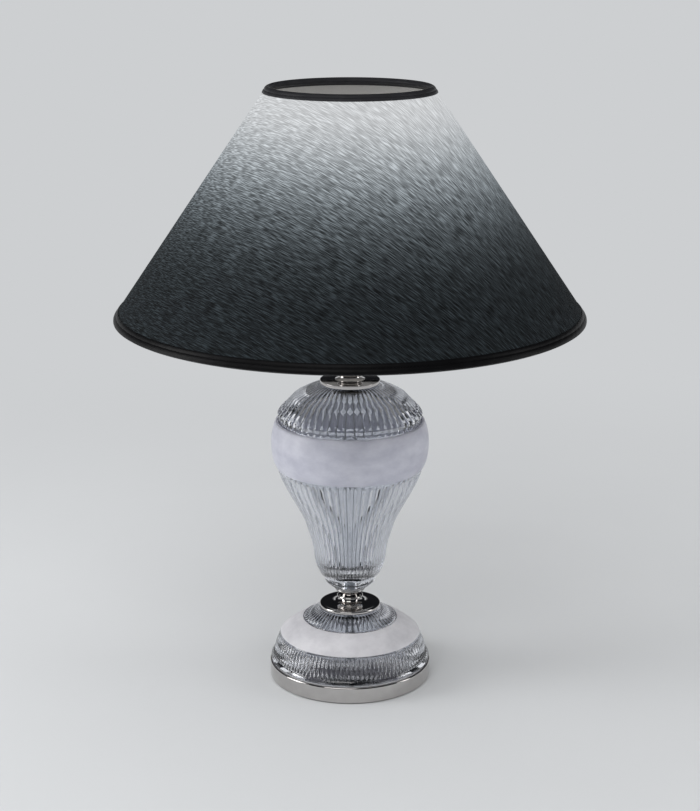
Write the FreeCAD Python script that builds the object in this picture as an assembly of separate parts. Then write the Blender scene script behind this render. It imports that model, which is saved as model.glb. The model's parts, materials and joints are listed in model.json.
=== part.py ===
"""Table lamp with a cut crystal vase on a crystal foot, chrome fittings and a wide conical fabric shade.

Millimetres, +Z up. The origin is the centre of the felt that the lamp stands on, and -Y is the front.
The pieces are stacked on one threaded rod, so each height below starts from the one under it.
"""

import FreeCAD
import Part
import math
import os

# Clearances and cuts
overrun = 2.0
slip_clearance = 0.1
thread_clearance = 0.08
seat_clearance = 0.2
gasket_thickness = 0.8

# Threaded rod that holds the whole stack together, and carries the wires in its bore
rod_radius = 5.0
rod_bore_radius = 3.6
rod_hole_clearance = 0.4

# Felt, chrome base pan and what is under it
felt_thickness = 2.5
felt_proud = 1.0
felt_edge_gap = 0.4
pan_radius = 81.0
pan_height = 15.8
pan_wall = 1.5
pan_plate = 2.0
pan_edge_round = 1.4
weight_edge_gap = 11.5
weight_thickness = 4.6
washer_radius = 14.0
washer_thickness = 1.2
base_nut_across_flats = 17.0
base_nut_height = 5.0
rod_end_gap = 0.6

# Cord outlet in the back of the pan
cord_hole_radius = 3.25
grommet_body_radius = 4.4
grommet_flange_radius = 5.8
grommet_flange_thickness = 1.2

# Crystal foot: a ribbed skirt, a frosted shoulder and a ribbed crown
foot_rim_inset = 1.0
foot_height = 53.9
foot_rim_height = 4.6
foot_rim_round = 1.6
foot_skirt_draft = 10.0
foot_frost_low_height = 27.0
foot_frost_high_radius = 46.9
foot_frost_high_height = 42.9
foot_top_radius = 30.2
foot_wall = 6.0
foot_skirt_ribs = 110
foot_skirt_rib_depth = 0.8
foot_crown_ribs = 60
foot_crown_rib_depth = 0.8
foot_shoulder_bow = 0.9
frost_step = 0.25

# Turned neck between the foot and the vase
flange_radius = 30.6
flange_thickness = 3.7
flange_rim_round = 1.5
flange_hub_radius = 14.8
flange_hub_height = 5.5
neck_waist_radius = 9.6
neck_bead_radius = 13.0
neck_bead_height = 2.8
cup_height = 7.4
cup_radius = 15.2
cup_brim = 1.4
cove_bow = 1.5

# Cut crystal vase: a smooth end, long flutes, a frosted belly and a fluted dome
vase_height = 211.7
vase_end_radius = 13.6
vase_lip_radius = 25.0
vase_lip_height = 8.4
vase_lip_step = 0.7
vase_end_bow = 2.1
vase_knuckle_radius = 35.8
vase_knuckle_height = 34.6
vase_frost_low_radius = 72.2
vase_frost_low_height = 128.2
vase_belly_radius = 77.7
vase_belly_height = 153.5
vase_shoulder_radius = 73.6
vase_shoulder_height = 174.0
vase_groove_radius = 69.6
vase_groove_height = 176.4
vase_groove_width = 1.1
vase_band_bow = 1.4
vase_shoulder_bow = 1.1
vase_dome_radius = 71.4
vase_top_radius = 30.0
vase_mouth_radius = 12.0
vase_wall = 5.5
dome_wall = 3.7
vase_floor = 15.0
vase_flutes = 64
vase_flute_depth = 1.3
dome_flutes = 60
dome_flute_depth = 1.3

# Cap on the vase, its collar and the tube up to the lampholder
cap_radius = 29.4
cap_thickness = 3.3
cap_rim_round = 1.2
collar_radius = 14.8
collar_bead_radius = 13.0
collar_height = 13.9
collar_top_radius = 8.6
tube_radius = 6.5
tube_length = 50.0

# Screw lampholder
holder_radius = 19.2
holder_wall = 1.8
holder_cap_height = 22.0
holder_cap_wall = 1.2
holder_cap_dome = 2.6
holder_boss_radius = 7.6
holder_boss_height = 9.0
holder_skirt_height = 40.0
holder_shoulder_radius = 23.0
holder_shoulder_height = 11.0
holder_shoulder_thickness = 2.0
insert_floor_height = 8.0
insert_floor_thickness = 6.0
insert_top_gap = 5.0
screw_shell_wall = 0.5
wire_hole_radius = 1.5
tongue_width = 6.0
tongue_thickness = 0.5
tongue_lift = 3.2
tongue_back = 8.5
tongue_bend = 4.2
tongue_front = 4.2

# Ring that clamps the shade down on the lampholder's shoulder
clamp_ring_radius = 27.0
clamp_ring_height = 8.0
clamp_ring_lip = 2.4
clamp_ring_grips = 24
clamp_grip_depth = 1.1

# Bulb with a 27 mm screw cap
bulb_screw_radius = 13.2
bulb_screw_length = 23.0
bulb_cap_wall = 0.5
bulb_insulator_height = 2.6
bulb_contact_radius = 4.8
bulb_contact_height = 0.8
bulb_radius = 30.0
bulb_length = 105.0
bulb_glass_wall = 0.9
bulb_neck_radius = 14.2
bulb_neck_rise = 3.6
bulb_glass_tuck = 5.8
ball_start_angle = -36.0
ball_end_angle = 90.0
stem_radius = 3.0
stem_height = 34.0
stem_flare_height = 17.0
filament_wire_radius = 0.5
filament_span = 16.0
filament_rise = 16.0

# Shade: a cone of fabric on a stiff lining, held by two wire rings and a three armed spider
shade_bottom_radius = 227.0
shade_top_radius = 78.2
shade_height = 218.4
fabric_thickness = 0.6
lining_thickness = 0.6
ring_wire_radius = 1.6
ring_wire_sides = 8
spoke_wire_radius = 1.5
spider_rise = 35.2
spoke_count = 3
fitter_radius = 28.0
fitter_thickness = 2.0
fitter_hole_clearance = 1.0
trim_thickness = 0.8
bottom_trim_width = 8.8
bottom_trim_return = 8.0
top_trim_width = 7.0
top_trim_return = 8.0

# Radii that follow the pan
weight_radius = pan_radius - pan_wall - weight_edge_gap
foot_rim_radius = pan_radius - foot_rim_inset
foot_frost_low_radius = foot_rim_radius - foot_skirt_draft

# Heights, each one from the piece below
pan_bottom = felt_proud
pan_top = pan_bottom + pan_height
foot_bottom = pan_top + gasket_thickness
foot_top = foot_bottom + foot_height
flange_bottom = foot_top + gasket_thickness
flange_top = flange_bottom + flange_thickness + flange_hub_height
bead_top = flange_top + neck_bead_height
cup_top = bead_top + cup_height
vase_bottom = cup_top + gasket_thickness
vase_top = vase_bottom + vase_height
cap_bottom = vase_top + gasket_thickness
collar_bottom = cap_bottom + cap_thickness
tube_bottom = collar_bottom + collar_height
holder_bottom = tube_bottom + tube_length
skirt_bottom = holder_bottom + holder_cap_height
skirt_top = skirt_bottom + holder_skirt_height
shoulder_top = skirt_bottom + holder_shoulder_height + holder_shoulder_thickness
fitter_bottom = shoulder_top + seat_clearance
fitter_top = fitter_bottom + fitter_thickness
shade_bottom = fitter_bottom + fitter_thickness / 2 - spider_rise
shade_top = shade_bottom + shade_height

# Fits
rod_hole_radius = rod_radius + rod_hole_clearance
insert_radius = holder_radius - holder_wall - slip_clearance
insert_floor = skirt_bottom + insert_floor_height
screw_shell_bore = bulb_screw_radius + 2 * slip_clearance
screw_shell_radius = screw_shell_bore + screw_shell_wall
insert_bore = screw_shell_radius + slip_clearance
contact_bottom = insert_floor + tongue_lift + seat_clearance
bulb_insulator_bottom = contact_bottom + bulb_contact_height
bulb_cap_bottom = bulb_insulator_bottom + bulb_insulator_height
bulb_cap_top = bulb_cap_bottom + bulb_screw_length
bulb_top = contact_bottom + bulb_length
glass_bottom = bulb_cap_top - bulb_glass_tuck
rod_bottom = felt_thickness + rod_end_gap
rod_top = holder_bottom + holder_boss_height
washer_top = pan_top - pan_plate - weight_thickness
base_nut_top = washer_top - washer_thickness

# Outline shares, chosen by hand: (share of the height, share of the radius) between two named sections
flute_shares = [(0.0, 0.0), (0.1, 0.03), (0.25, 0.135), (0.45, 0.32), (0.65, 0.59), (0.85, 0.86), (1.0, 1.0)]
dome_rim_shares = [(0.0, 0.965), (0.13, 1.0), (0.2, 0.965)]
dome_shares = [(0.38, 0.82), (0.65, 0.61), (0.84, 0.385), (0.95, 0.19), (1.0, 0.0)]
skirt_middle_shares = (0.55, 0.45)
gasket_radius_share = 0.8
collar_waist_shares = (0.3, 0.45)
collar_bead_share = 0.65
cap_wide_share = 0.7
wire_hole_share = 0.7

# Steps of a rounded edge, and of the bulb's ball
arc_steps = 3
ball_steps = 6

# Directions
up = FreeCAD.Vector(0, 0, 1)
back = FreeCAD.Vector(0, 1, 0)
centre = FreeCAD.Vector(0, 0, 0)
full_turn = 360.0


# Drawing helpers

def turned(*outline):
    """A solid turned about the lamp's axis from an outline of points (r, z)."""
    points = [FreeCAD.Vector(r, 0, z) for r, z in outline]
    solid = Part.Face(Part.makePolygon(points + points[:1])).revolve(centre, up, full_turn)
    if solid.Volume < 0:
        solid.reverse()
    return solid


def bowed(start, end, bow):
    """Points after start along an arc that leaves the straight line by bow, to its right hand side."""
    along = (end[0] - start[0], end[1] - start[1])
    half = 2 * math.atan2(2 * bow, math.hypot(*along))
    points = []
    for i in range(1, arc_steps + 1):
        turn = half * (2 * i / arc_steps - 1)
        forward = (1 + math.sin(turn) / math.sin(half)) / 2
        aside = (math.cos(turn) - math.cos(half)) / math.sin(half) / 2
        points.append((start[0] + forward * along[0] + aside * along[1],
                       start[1] + forward * along[1] - aside * along[0]))
    return points


def rounded(start, end):
    """Points after start along the quarter round that takes the place of a square outer corner."""
    return bowed(start, end, abs(end[0] - start[0]) * (1 - math.sqrt(1 / 2)))


def tube(outer, inner, low, high):
    """A plain round tube or washer on the axis."""
    return turned((inner, low), (outer, low), (outer, high), (inner, high))


def facet(*corners):
    """A flat face between corners."""
    return Part.Face(Part.makePolygon([*corners, corners[0]]))


def fluted(count, depth_share, sections):
    """A body of flat facets with sharp ridges between valleys, through sections (radius, height)."""
    rings = []
    for radius, height in sections:
        ring = []
        for i in range(2 * count):
            r = radius if i % 2 == 0 else radius * (1 - depth_share)
            angle = math.pi * i / count
            ring.append(FreeCAD.Vector(r * math.cos(angle), r * math.sin(angle), height))
        rings.append(ring)
    faces = [facet(*rings[0]), facet(*rings[-1])]
    for low, high in zip(rings, rings[1:]):
        for i in range(2 * count):
            faces.append(facet(low[i - 1], low[i], high[i], high[i - 1]))
    solid = Part.Solid(Part.Shell(faces))
    if solid.Volume < 0:
        solid.reverse()
    return solid


def between(low, high, share):
    return low + (high - low) * share


# Base

def felt_pad():
    radius = pan_radius - pan_wall - felt_edge_gap
    return tube(radius, 0, 0, felt_thickness)


def base_pan():
    """Pressed pan with a rolled top edge, open below, with the cord outlet in its back."""
    inside = pan_radius - pan_wall
    under = pan_top - pan_plate
    edge = (pan_radius, pan_top - pan_edge_round)
    pan = turned(
        (rod_hole_radius, under),
        (inside, under),
        (inside, pan_bottom),
        (pan_radius, pan_bottom),
        edge,
        *rounded(edge, (pan_radius - pan_edge_round, pan_top)),
        (rod_hole_radius, pan_top),
    )
    return pan.cut(round_along_y(grommet_body_radius + slip_clearance, inside - overrun, pan_radius + overrun))


def base_weight():
    return tube(weight_radius, rod_hole_radius, washer_top, pan_top - pan_plate)


def base_washer():
    return tube(washer_radius, rod_hole_radius, base_nut_top, washer_top)


def base_nut():
    """Thin hexagon nut on the rod."""
    reach = base_nut_across_flats / 2 / math.cos(math.pi / 6)
    low = base_nut_top - base_nut_height
    corners = []
    for i in range(7):
        angle = math.pi * i / 3
        corners.append(FreeCAD.Vector(reach * math.cos(angle), reach * math.sin(angle), low))
    block = Part.Face(Part.makePolygon(corners)).extrude(up * base_nut_height)
    return block.cut(tube(rod_radius + thread_clearance, 0, 0, base_nut_top + overrun))


def cord_height():
    """The cord outlet is half way between the felt and the pan's top plate."""
    return (felt_thickness + pan_top - pan_plate) / 2


def round_along_y(radius, near, far):
    """A round bar through the pan's back wall."""
    return Part.makeCylinder(radius, far - near, FreeCAD.Vector(0, near, cord_height()), back)


def cord_grommet():
    """Rubber bush with a flange inside and outside the wall, and a clear hole for the cord."""
    inside = pan_radius - pan_wall
    flange_seat = math.sqrt(inside ** 2 - grommet_flange_radius ** 2) - slip_clearance
    body = round_along_y(grommet_body_radius, flange_seat, pan_radius)
    outer = round_along_y(grommet_flange_radius, pan_radius, pan_radius + grommet_flange_thickness)
    inner = round_along_y(grommet_flange_radius, flange_seat - grommet_flange_thickness, flange_seat)
    bush = body.fuse([outer, inner]).removeSplitter()
    return bush.cut(round_along_y(cord_hole_radius, flange_seat - overrun, pan_radius + overrun))


# Crystal foot

def foot_gasket():
    outer = foot_rim_radius - foot_rim_round
    return tube(outer, outer - foot_wall + 2 * foot_rim_round, pan_top, foot_bottom)


def crystal_foot():
    """Bell of pressed crystal, ribbed below and above its frosted shoulder."""
    rim_top = foot_bottom + foot_rim_height
    frost_low = foot_bottom + foot_frost_low_height
    frost_high = foot_bottom + foot_frost_high_height
    rim_start = (foot_rim_radius - foot_rim_round, foot_bottom)
    rim_end = (foot_rim_radius, foot_bottom + foot_rim_round)
    rim_neck = between(foot_rim_radius, foot_frost_low_radius, foot_rim_height / foot_frost_low_height)
    rim = turned(
        (0, foot_bottom),
        rim_start,
        *rounded(rim_start, rim_end),
        (rim_neck + frost_step, rim_top),
        (0, rim_top),
    )
    up_share, in_share = skirt_middle_shares
    middle_radius = between(rim_neck, foot_frost_low_radius, in_share)
    middle_height = between(rim_top, frost_low, up_share)
    skirt = fluted(
        foot_skirt_ribs,
        foot_skirt_rib_depth / foot_rim_radius,
        [(rim_neck, rim_top), (middle_radius, middle_height), (foot_frost_low_radius, frost_low)],
    )
    shoulder_low = (foot_frost_low_radius + frost_step, frost_low)
    shoulder_high = (foot_frost_high_radius + frost_step, frost_high)
    shoulder = turned(
        (0, frost_low),
        shoulder_low,
        *bowed(shoulder_low, shoulder_high, foot_shoulder_bow),
        (0, frost_high),
    )
    crown = fluted(
        foot_crown_ribs,
        foot_crown_rib_depth / foot_frost_high_radius,
        [(foot_frost_high_radius, frost_high), (foot_top_radius, foot_top)],
    )
    body = rim.fuse([skirt, shoulder, crown])
    hollow = turned(
        (0, foot_bottom - overrun),
        (foot_rim_radius - foot_wall, foot_bottom - overrun),
        (foot_rim_radius - foot_wall, rim_top),
        (foot_frost_low_radius - foot_wall, frost_low - foot_wall / 2),
        (foot_frost_high_radius - foot_wall / 2, frost_high - foot_wall),
        (foot_top_radius - foot_wall, foot_top - foot_wall),
        (rod_hole_radius, foot_top - foot_wall),
        (rod_hole_radius, foot_top + overrun),
        (0, foot_top + overrun),
    )
    return body.cut(hollow)


# Neck

def neck_gasket():
    return tube(foot_top_radius * gasket_radius_share, rod_hole_radius, foot_top, flange_bottom)


def neck_flange():
    """Round plate with a rolled rim and a hollowed hub."""
    rim_low = (flange_radius - flange_rim_round, flange_bottom)
    rim_mid = (flange_radius, flange_bottom + flange_rim_round)
    plate_top = flange_bottom + flange_thickness
    rim_high = (flange_radius, plate_top - flange_rim_round)
    rim_end = (flange_radius - flange_rim_round, plate_top)
    hub_foot = (flange_hub_radius, plate_top)
    return turned(
        (rod_hole_radius, flange_bottom),
        rim_low,
        *rounded(rim_low, rim_mid),
        rim_high,
        *rounded(rim_high, rim_end),
        *bowed(rim_end, hub_foot, -cove_bow / 2),
        *bowed(hub_foot, (neck_waist_radius, flange_top), -cove_bow),
        (rod_hole_radius, flange_top),
    )


def neck_bead():
    """Round bead ring between the flange and the cup."""
    half = neck_bead_height / 2
    low = (neck_bead_radius - half, flange_top)
    high = (neck_bead_radius - half, bead_top)
    return turned((rod_hole_radius, flange_top), low, *bowed(low, high, half), (rod_hole_radius, bead_top))


def vase_cup():
    """Flared cup under the vase."""
    foot = (neck_waist_radius, bead_top)
    brim = (cup_radius, cup_top - cup_brim)
    return turned(
        (rod_hole_radius, bead_top),
        foot,
        *bowed(foot, brim, -cove_bow),
        (cup_radius, cup_top),
        (rod_hole_radius, cup_top),
    )


def vase_gasket():
    return tube(vase_end_radius - gasket_thickness, rod_hole_radius, cup_top, vase_bottom)


# Crystal vase

def crystal_vase():
    """One piece of cut crystal, hollow, with long flutes, a frosted belly and a fluted dome."""
    lip_z = vase_bottom + vase_lip_height
    knuckle_z = vase_bottom + vase_knuckle_height
    frost_low = vase_bottom + vase_frost_low_height
    belly_z = vase_bottom + vase_belly_height
    shoulder_z = vase_bottom + vase_shoulder_height
    groove_z = vase_bottom + vase_groove_height
    dome_z = groove_z + vase_groove_width

    saucer_start = (vase_end_radius, vase_bottom)
    lip = (vase_lip_radius, lip_z)
    lip_top = (vase_lip_radius, lip_z + vase_lip_step)
    neck = (vase_lip_radius - vase_lip_step, lip_z + 2 * vase_lip_step)
    knuckle = (vase_knuckle_radius, knuckle_z)
    end = turned(
        (0, vase_bottom),
        saucer_start,
        *bowed(saucer_start, lip, vase_lip_step),
        lip_top,
        neck,
        *bowed(neck, knuckle, vase_end_bow),
        (0, knuckle_z),
    )

    flute_sections = [
        (
            between(vase_knuckle_radius, vase_frost_low_radius, radius_share),
            between(knuckle_z, frost_low, height_share),
        )
        for height_share, radius_share in flute_shares
    ]
    flutes = fluted(vase_flutes, vase_flute_depth / vase_frost_low_radius, flute_sections)

    band_low = (vase_frost_low_radius + frost_step, frost_low)
    belly = (vase_belly_radius, belly_z)
    shoulder = (vase_shoulder_radius, shoulder_z)
    groove = (vase_groove_radius, groove_z)
    band = turned(
        (0, frost_low),
        band_low,
        *bowed(band_low, belly, vase_band_bow),
        *bowed(belly, shoulder, vase_shoulder_bow),
        groove,
        (vase_groove_radius, dome_z),
        (0, dome_z),
    )

    dome_sections = [
        (between(vase_top_radius, vase_dome_radius, radius_share), between(dome_z, vase_top, height_share))
        for height_share, radius_share in dome_rim_shares + dome_shares
    ]
    dome = fluted(dome_flutes, dome_flute_depth / vase_dome_radius, dome_sections)

    body = end.fuse([flutes, band, dome])
    floor_z = vase_bottom + vase_floor
    inner_top = vase_top - vase_wall
    hollow = [
        (0, vase_bottom - overrun),
        (rod_hole_radius, vase_bottom - overrun),
        (rod_hole_radius, floor_z),
        (vase_lip_radius - vase_wall, floor_z + vase_wall / 2),
        (vase_knuckle_radius - vase_wall, knuckle_z),
    ]
    for radius, height in flute_sections[3:-1]:
        hollow.append((radius - vase_wall, height))
    hollow += [
        (vase_frost_low_radius - vase_wall, frost_low),
        (vase_belly_radius - vase_wall, belly_z),
        (vase_groove_radius - vase_wall, shoulder_z),
    ]
    for radius, height in dome_sections[len(dome_rim_shares):-2]:
        hollow.append((radius - dome_wall, height - dome_wall))
    hollow += [
        (vase_top_radius - vase_wall, inner_top),
        (vase_mouth_radius, inner_top),
        (vase_mouth_radius, vase_top + overrun),
        (0, vase_top + overrun),
    ]
    return body.cut(turned(*hollow))


# Cap, collar and tube

def cap_gasket():
    outer = vase_top_radius * gasket_radius_share
    return tube(outer, vase_mouth_radius + gasket_thickness, vase_top, cap_bottom)


def vase_cap():
    """Round plate on the dome."""
    rim_low = (cap_radius - cap_rim_round, cap_bottom)
    rim_mid = (cap_radius, cap_bottom + cap_rim_round)
    rim_high = (cap_radius, collar_bottom - cap_rim_round)
    rim_end = (cap_radius - cap_rim_round, collar_bottom)
    return turned(
        (rod_hole_radius, cap_bottom),
        rim_low,
        *rounded(rim_low, rim_mid),
        rim_high,
        *rounded(rim_high, rim_end),
        (rod_hole_radius, collar_bottom),
    )


def cap_collar():
    """Turned collar: a flared foot, a round bead and a shoulder for the tube."""
    foot = (collar_radius, collar_bottom)
    up_share, out_share = collar_waist_shares
    waist_radius = between(collar_top_radius, collar_radius, out_share)
    waist = (waist_radius, between(collar_bottom, tube_bottom, up_share))
    bead_end = (waist_radius, between(collar_bottom, tube_bottom, collar_bead_share))
    return turned(
        (rod_hole_radius, collar_bottom),
        foot,
        *bowed(foot, waist, -cove_bow / 2),
        *bowed(waist, bead_end, collar_bead_radius - waist_radius),
        (collar_top_radius, tube_bottom),
        (rod_hole_radius, tube_bottom),
    )


def stem_tube():
    return tube(tube_radius, rod_hole_radius, tube_bottom, holder_bottom)


def threaded_rod():
    return tube(rod_radius, rod_bore_radius, rod_bottom, rod_top)


# Lampholder

def lampholder_cap():
    """Domed cap with an inner boss that screws on the rod."""
    boss_top = holder_bottom + holder_boss_height
    foot = (holder_boss_radius, holder_bottom)
    wide = (holder_radius, between(holder_bottom, skirt_bottom, cap_wide_share))
    inner_wide = (holder_radius - holder_cap_wall, wide[1])
    inner_foot = (holder_boss_radius, holder_bottom + holder_cap_wall)
    return turned(
        (rod_radius + thread_clearance, holder_bottom),
        foot,
        *bowed(foot, wide, holder_cap_dome),
        (holder_radius, skirt_bottom),
        (holder_radius - holder_cap_wall, skirt_bottom),
        inner_wide,
        inner_foot,
        (holder_boss_radius, boss_top),
        (rod_radius + thread_clearance, boss_top),
    )


def lampholder_shell():
    """Threaded skirt with the shoulder that the shade rests on."""
    bore = holder_radius - holder_wall
    shoulder_low = shoulder_top - holder_shoulder_thickness
    return turned(
        (bore, skirt_bottom),
        (holder_radius, skirt_bottom),
        (holder_radius, shoulder_low),
        (holder_shoulder_radius, shoulder_low),
        (holder_shoulder_radius, shoulder_top),
        (holder_radius, shoulder_top),
        (holder_radius, skirt_top),
        (bore, skirt_top),
    )


def lampholder_insert():
    """Porcelain cup that holds the contacts, with two wire holes in its floor."""
    low = insert_floor - insert_floor_thickness
    cup = turned(
        (0, low),
        (insert_radius, low),
        (insert_radius, skirt_top - insert_top_gap),
        (insert_bore, skirt_top - insert_top_gap),
        (insert_bore, insert_floor),
        (0, insert_floor),
    )
    for side in (-1, 1):
        spot = FreeCAD.Vector(0, side * insert_bore * wire_hole_share, low - overrun)
        cup = cup.cut(Part.makeCylinder(wire_hole_radius, insert_floor_thickness + 2 * overrun, spot, up))
    return cup


def screw_shell():
    """Contact sleeve that the bulb screws into."""
    return tube(screw_shell_radius, screw_shell_bore, insert_floor, skirt_top - insert_top_gap)


def centre_contact():
    """Springy tongue, fixed flat at one end and bent up under the bulb's contact."""
    side = [
        (-tongue_back, insert_floor),
        (-tongue_bend, insert_floor),
        (tongue_front, insert_floor + tongue_lift - tongue_thickness),
        (tongue_front, insert_floor + tongue_lift),
        (-tongue_bend, insert_floor + tongue_thickness),
        (-tongue_back, insert_floor + tongue_thickness),
    ]
    edge = -tongue_width / 2
    corners = [FreeCAD.Vector(x, edge, z) for x, z in side + side[:1]]
    return Part.Face(Part.makePolygon(corners)).extrude(back * tongue_width)


def shade_ring():
    """Clamp ring on the lampholder's thread, with a smooth lip below and a gripped edge above."""
    low = fitter_top + seat_clearance
    lip_top = low + clamp_ring_lip
    high = low + clamp_ring_height
    bore = holder_radius + thread_clearance
    lip = tube(clamp_ring_radius, 0, low, lip_top)
    body = clamp_ring_radius - clamp_ring_lip
    grips = fluted(clamp_ring_grips, clamp_grip_depth / body, [(body, lip_top), (body, high)])
    return lip.fuse(grips).cut(tube(bore, 0, low - overrun, high + overrun))


# Bulb

def bulb_cap():
    """Screw cap, closed by the insulator below and open to the glass above."""
    inside = bulb_screw_radius - bulb_cap_wall
    return turned(
        (bulb_contact_radius, bulb_cap_bottom),
        (inside, bulb_cap_bottom),
        (bulb_screw_radius, bulb_cap_bottom + bulb_cap_wall),
        (bulb_screw_radius, bulb_cap_top),
        (inside, bulb_cap_top),
        (inside, bulb_cap_bottom + bulb_cap_wall),
        (bulb_contact_radius, bulb_cap_bottom + bulb_cap_wall),
    )


def bulb_insulator():
    """Black glass cone between the screw cap and the end contact."""
    return turned(
        (0, bulb_insulator_bottom),
        (bulb_contact_radius, bulb_insulator_bottom),
        (bulb_screw_radius - 2 * bulb_cap_wall, bulb_cap_bottom),
        (0, bulb_cap_bottom),
    )


def bulb_contact():
    edge = (bulb_contact_radius, bulb_insulator_bottom)
    flat = (bulb_contact_radius - bulb_contact_height, contact_bottom)
    return turned((0, contact_bottom), flat, edge, (0, bulb_insulator_bottom))


def bulb_outline(gap):
    """The glass outline from the neck's edge up to the crown, drawn in by gap from the outer face."""
    ball = bulb_top - bulb_radius
    reach = bulb_radius - gap
    tuck = bulb_screw_radius - bulb_cap_wall - slip_clearance - gap
    points = [
        (tuck, glass_bottom),
        (tuck, bulb_cap_top + gap),
        (bulb_neck_radius - gap, bulb_cap_top + bulb_neck_rise),
    ]
    for i in range(ball_steps + 1):
        angle = math.radians(between(ball_start_angle, ball_end_angle, i / ball_steps))
        points.append((reach * math.cos(angle), ball + reach * math.sin(angle)))
    return points


def bulb_glass():
    """Thin pear of opal glass whose neck stands in the cap."""
    outer = bulb_outline(0)
    inner = bulb_outline(bulb_glass_wall)
    return turned(*outer, *reversed(inner))


def bulb_stem():
    """Glass stem inside the neck: a flared foot and a thin post."""
    foot_radius = bulb_screw_radius - bulb_cap_wall - 2 * slip_clearance - bulb_glass_wall
    return turned(
        (0, glass_bottom),
        (foot_radius, glass_bottom),
        *bowed((foot_radius, glass_bottom), (stem_radius, glass_bottom + stem_flare_height), -stem_radius),
        (stem_radius, glass_bottom + stem_height),
        (0, glass_bottom + stem_height),
    )


def bulb_filament():
    """Two lead wires out of the stem and the filament bar between them."""
    low = glass_bottom + stem_height
    wires = []
    for side in (-1, 1):
        foot = FreeCAD.Vector(side * stem_radius / 2, 0, low)
        tip = FreeCAD.Vector(side * filament_span / 2, 0, low + filament_rise)
        wires.append(Part.makeCylinder(filament_wire_radius, (tip - foot).Length, foot, tip - foot))
    bar_start = FreeCAD.Vector(-filament_span / 2 - filament_wire_radius, 0, low + filament_rise)
    bar_length = filament_span + 2 * filament_wire_radius
    bar = Part.makeCylinder(filament_wire_radius, bar_length, bar_start, FreeCAD.Vector(1, 0, 0))
    return bar.fuse(wires).cut(bulb_stem())


# Shade

shade_slope = math.hypot(shade_bottom_radius - shade_top_radius, shade_height)
slope_out = (shade_height / shade_slope, (shade_bottom_radius - shade_top_radius) / shade_slope)


def on_cone(from_edge, depth, top=False):
    """(r, z) at a distance along the slope from the shade's lower or upper edge, and a depth behind its face."""
    edge = (shade_top_radius, shade_top) if top else (shade_bottom_radius, shade_bottom)
    way = 1 if top else -1
    r = edge[0] + way * from_edge * slope_out[1] - depth * slope_out[0]
    z = edge[1] - way * from_edge * slope_out[0] - depth * slope_out[1]
    return r, z


def cone_layer(outer_depth, inner_depth):
    """A layer of the shade's wall, cut square at both ends."""
    return turned(
        on_cone(0, inner_depth),
        on_cone(0, outer_depth),
        on_cone(0, outer_depth, True),
        on_cone(0, inner_depth, True),
    )


def shade_fabric():
    return cone_layer(0, fabric_thickness)


def shade_lining():
    return cone_layer(fabric_thickness, fabric_thickness + lining_thickness)


def wire_centre(top=False):
    """The ring wire lies inside the wall, level with its edge."""
    behind = fabric_thickness + lining_thickness + ring_wire_radius + slip_clearance
    return on_cone(ring_wire_radius, behind, top)


def frame_ring(top):
    """A hoop of wire, drawn with flats."""
    r, z = wire_centre(top)
    section = []
    for i in range(ring_wire_sides):
        angle = 2 * math.pi * (i + 1 / 2) / ring_wire_sides
        section.append((r + ring_wire_radius * math.cos(angle), z + ring_wire_radius * math.sin(angle)))
    return turned(*section)


def bottom_frame_ring():
    return frame_ring(False)


def top_frame_ring():
    return frame_ring(True)


def folded_trim(top, width, back_width):
    """Tape folded over the shade's edge and round its ring wire."""
    wall = fabric_thickness + lining_thickness
    behind = wall + slip_clearance + ring_wire_radius
    wrap = ring_wire_radius + trim_thickness
    return turned(
        on_cone(width, wall / 2, top),
        on_cone(width, -trim_thickness, top),
        on_cone(0, -trim_thickness, top),
        on_cone(-trim_thickness, 0, top),
        on_cone(-trim_thickness, behind, top),
        on_cone(0, behind + wrap, top),
        on_cone(2 * ring_wire_radius, behind + wrap, top),
        on_cone(back_width, wall + trim_thickness, top),
        on_cone(back_width, wall / 2, top),
    )


def bottom_trim():
    band = folded_trim(False, bottom_trim_width, bottom_trim_return)
    return band.cut([shade_fabric(), shade_lining(), bottom_frame_ring()] + spokes(slip_clearance))


def top_trim():
    band = folded_trim(True, top_trim_width, top_trim_return)
    return band.cut([shade_fabric(), shade_lining(), top_frame_ring()])


def fitter_ring():
    """Flat ring that drops over the lampholder's thread."""
    return tube(fitter_radius, holder_radius + fitter_hole_clearance, fitter_bottom, fitter_top)


def spokes(extra=0):
    """Straight wires from the fitter ring out and down to the bottom ring wire."""
    r, z = wire_centre(False)
    inner = fitter_radius - slip_clearance
    height = (fitter_bottom + fitter_top) / 2
    wires = []
    for i in range(spoke_count):
        angle = math.pi / 2 + 2 * math.pi * i / spoke_count
        way = FreeCAD.Vector(math.cos(angle), math.sin(angle), 0)
        start = way * inner + up * height
        end = way * r + up * z
        wires.append(Part.makeCylinder(spoke_wire_radius + extra, (end - start).Length, start, end - start))
    return wires


def spider_spokes():
    ends = [fitter_ring(), bottom_frame_ring()]
    return Part.makeCompound([wire.cut(ends) for wire in spokes()])


nodes = [
    felt_pad,
    base_pan,
    base_weight,
    base_washer,
    base_nut,
    cord_grommet,
    foot_gasket,
    crystal_foot,
    neck_gasket,
    neck_flange,
    neck_bead,
    vase_cup,
    vase_gasket,
    crystal_vase,
    cap_gasket,
    vase_cap,
    cap_collar,
    stem_tube,
    threaded_rod,
    lampholder_cap,
    lampholder_shell,
    lampholder_insert,
    screw_shell,
    centre_contact,
    shade_ring,
    bulb_cap,
    bulb_insulator,
    bulb_contact,
    bulb_glass,
    bulb_stem,
    bulb_filament,
    fitter_ring,
    spider_spokes,
    bottom_frame_ring,
    top_frame_ring,
    shade_lining,
    shade_fabric,
    bottom_trim,
    top_trim,
]

os.makedirs("parts", exist_ok=True)
for node in nodes:
    node().exportStep("parts/" + node.__name__ + ".step")
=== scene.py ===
"""Crystal table lamp with a conical cloth shade: smooth pieces, finishes and a studio round the frame."""

import json
import math

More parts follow.
